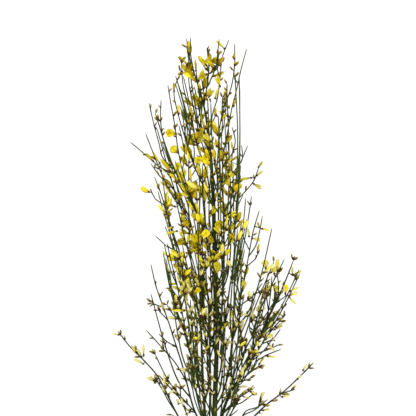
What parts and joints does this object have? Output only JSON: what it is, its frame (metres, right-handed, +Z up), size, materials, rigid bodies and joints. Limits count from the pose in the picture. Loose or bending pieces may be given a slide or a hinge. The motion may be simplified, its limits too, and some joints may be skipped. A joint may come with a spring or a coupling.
{
  "type": "dried broom bloom",
  "caption": "Cut flowering branch of broom, dried, lying on its side: rush-like green side shoots with small yellow pea flowers and dark buds.",
  "frame": {"origin": "on the flat under the woody stem, 20 mm from its cut end, at the height of the surface it lies on", "axes": "+Y along the branch from the cut end to the tips, +Z up from the surface it lies on, +X across the branch, to the right in the picture"},
  "size_m": [0.2482, 0.6733, 0.1115],
  "materials": {
    "stem_bark": "matt, ridged, dry",
    "shoot_bark": "matt, ridged, dry",
    "petals": "matt, papery, veined"
  },
  "bodies": {
    "root": {"woody_stem": "stem_bark", "left_low_spray": "shoot_bark", "right_low_spray": "shoot_bark", "left_tall_shoot": "shoot_bark", "right_main_shoot": "shoot_bark", "left_outer_shoot": "shoot_bark", "left_long_shoot": "shoot_bark", "left_inner_shoot": "shoot_bark", "right_tall_shoot": "shoot_bark", "right_inner_shoot": "shoot_bark", "right_crown_shoot": "shoot_bark", "left_crown_shoot": "shoot_bark", "arched_shoot": "shoot_bark", "crown_shoot_left": "shoot_bark", "crown_shoot_back": "shoot_bark", "crown_shoot_right": "shoot_bark", "right_long_shoot": "shoot_bark", "right_outer_shoot": "shoot_bark", "right_short_shoot": "shoot_bark", "right_small_shoot": "shoot_bark", "bloom_01": "petals", "bloom_02": "petals", "bloom_03": "petals", "bloom_04": "petals", "bloom_05": "petals", "bloom_06": "petals", "bloom_07": "petals", "bloom_08": "petals", "bloom_09": "petals", "bloom_10": "petals", "bloom_11": "petals", "bloom_12": "petals", "bloom_13": "petals", "bloom_14": "petals", "bloom_15": "petals", "bloom_16": "petals", "bloom_17": "petals", "bloom_18": "petals", "bloom_19": "petals", "bloom_20": "petals", "bloom_21": "petals", "bloom_22": "petals", "bloom_23": "petals", "bloom_24": "petals", "bloom_25": "petals", "bloom_26": "petals", "bloom_27": "petals", "bloom_28": "petals", "bloom_29": "petals", "bloom_30": "petals", "bloom_31": "petals", "bloom_32": "petals", "bloom_33": "petals", "bloom_34": "petals", "bloom_35": "petals", "bloom_36": "petals", "bloom_37": "petals", "bloom_38": "petals", "bloom_39": "petals", "bloom_40": "petals"}
  },
  "joints": []
}
